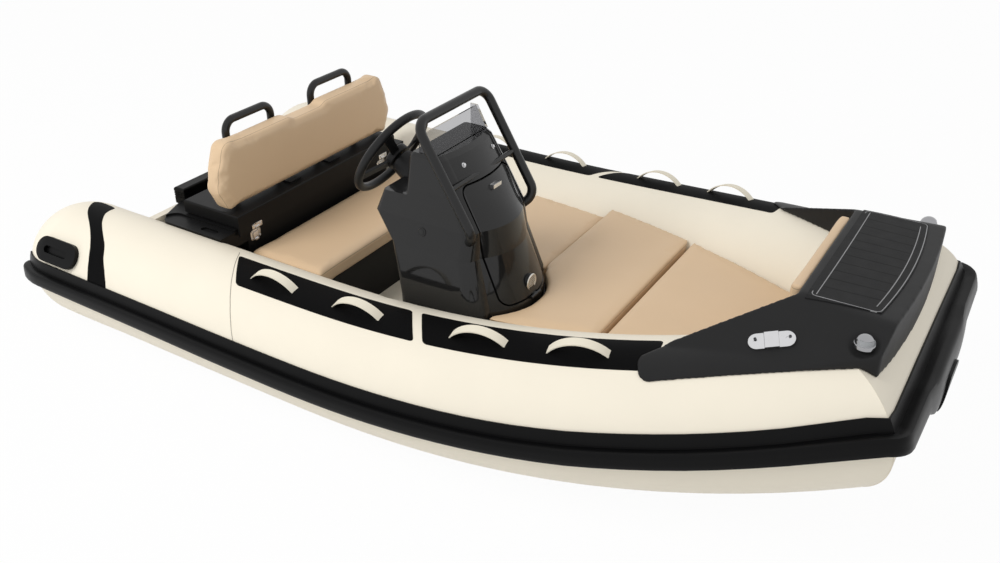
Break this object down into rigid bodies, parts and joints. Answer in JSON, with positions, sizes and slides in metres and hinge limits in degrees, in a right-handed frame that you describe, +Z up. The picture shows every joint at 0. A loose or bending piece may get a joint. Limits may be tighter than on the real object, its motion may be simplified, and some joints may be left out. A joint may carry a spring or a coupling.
{
  "type": "rigid inflatable boat",
  "caption": "Small rigid inflatable tender with a V hull, offset helm console, stern bench with backrest and a moulded bow deck.",
  "frame": {"origin": "aft face of the transom on the centreline at the waterline", "axes": "+X to the bow, +Y to port, +Z up"},
  "size_m": [3.1089, 1.746, 1.128],
  "materials": {
    "hypalon_cream": "matt coated fabric",
    "fabric_black": "matt coated fabric",
    "rail_rubber": "matt extruded rubber",
    "strap_cream": "woven webbing",
    "hull_alloy": "powder coat",
    "moulded_black": "fine grain",
    "console_black": "gloss gel coat",
    "cushion_tan": "marine vinyl",
    "stainless": "polished",
    "rail_black": "satin powder coat",
    "screen_smoke": "smoked acrylic",
    "mat_black": "ribbed foam",
    "wheel_black": "soft grip"
  },
  "bodies": {
    "boat": {"hull": "hull_alloy", "transom": "hull_alloy", "tube_port": "hypalon_cream", "tube_starboard": "hypalon_cream", "tube_bow": "hypalon_cream", "tube_end_port": "hypalon_cream", "tube_end_starboard": "hypalon_cream", "rub_rail_port": "rail_rubber", "rub_rail_starboard": "rail_rubber", "rub_rail_bow": "rail_rubber", "straps_port": "strap_cream", "straps_starboard": "strap_cream", "end_grips": "rail_rubber", "bow_grip": "rail_rubber", "stern_deck": "moulded_black", "engine_pad": "rail_rubber", "stern_locker": "moulded_black", "lid_hinges_fixed": "stainless", "latch_bodies": "stainless", "bench_base": "moulded_black", "bench_cushion": "cushion_tan", "console": "console_black", "console_rail": "rail_black", "windscreen": "screen_smoke", "steering_column": "wheel_black", "door_hinge_fixed": "stainless", "fore_base": "moulded_black", "cushion_fore_aft": "cushion_tan", "cushion_fore_bow": "cushion_tan", "cushion_side": "cushion_tan", "bow_cover": "moulded_black", "tread_mat": "mat_black", "bow_bolster": "cushion_tan", "nav_lights": "stainless", "cleats": "stainless", "stern_eyes": "stainless", "bow_eye": "stainless"},
    "lid": {"locker_lid": "moulded_black", "lid_hinges_moving": "stainless", "backrest": "cushion_tan", "backrest_clips": "moulded_black", "hand_holds": "rail_black", "latch_keepers": "stainless"},
    "door": {"console_door": "console_black", "door_latch": "stainless", "door_vent": "stainless", "door_hinge_moving": "stainless"},
    "wheel": {"steering_wheel": "wheel_black"}
  },
  "joints": [
    {"name": "locker_lid_hinge", "type": "hinge", "parent": "boat", "child": "lid", "pos_m": [0.106, 0, 0.419], "axis": [0, -1, 0], "range_deg": [0, 65]},
    {"name": "console_door_hinge", "type": "hinge", "parent": "boat", "child": "door", "pos_m": [1.473, -0.26, 0.3935], "axis": [0, 1, 0], "range_deg": [0, 85]},
    {"name": "steering_wheel_turn", "type": "hinge", "parent": "boat", "child": "wheel", "pos_m": [0.9505, -0.26, 0.747], "axis": [-0.866, 0, 0.5], "range_deg": [-576, 576]}
  ]
}
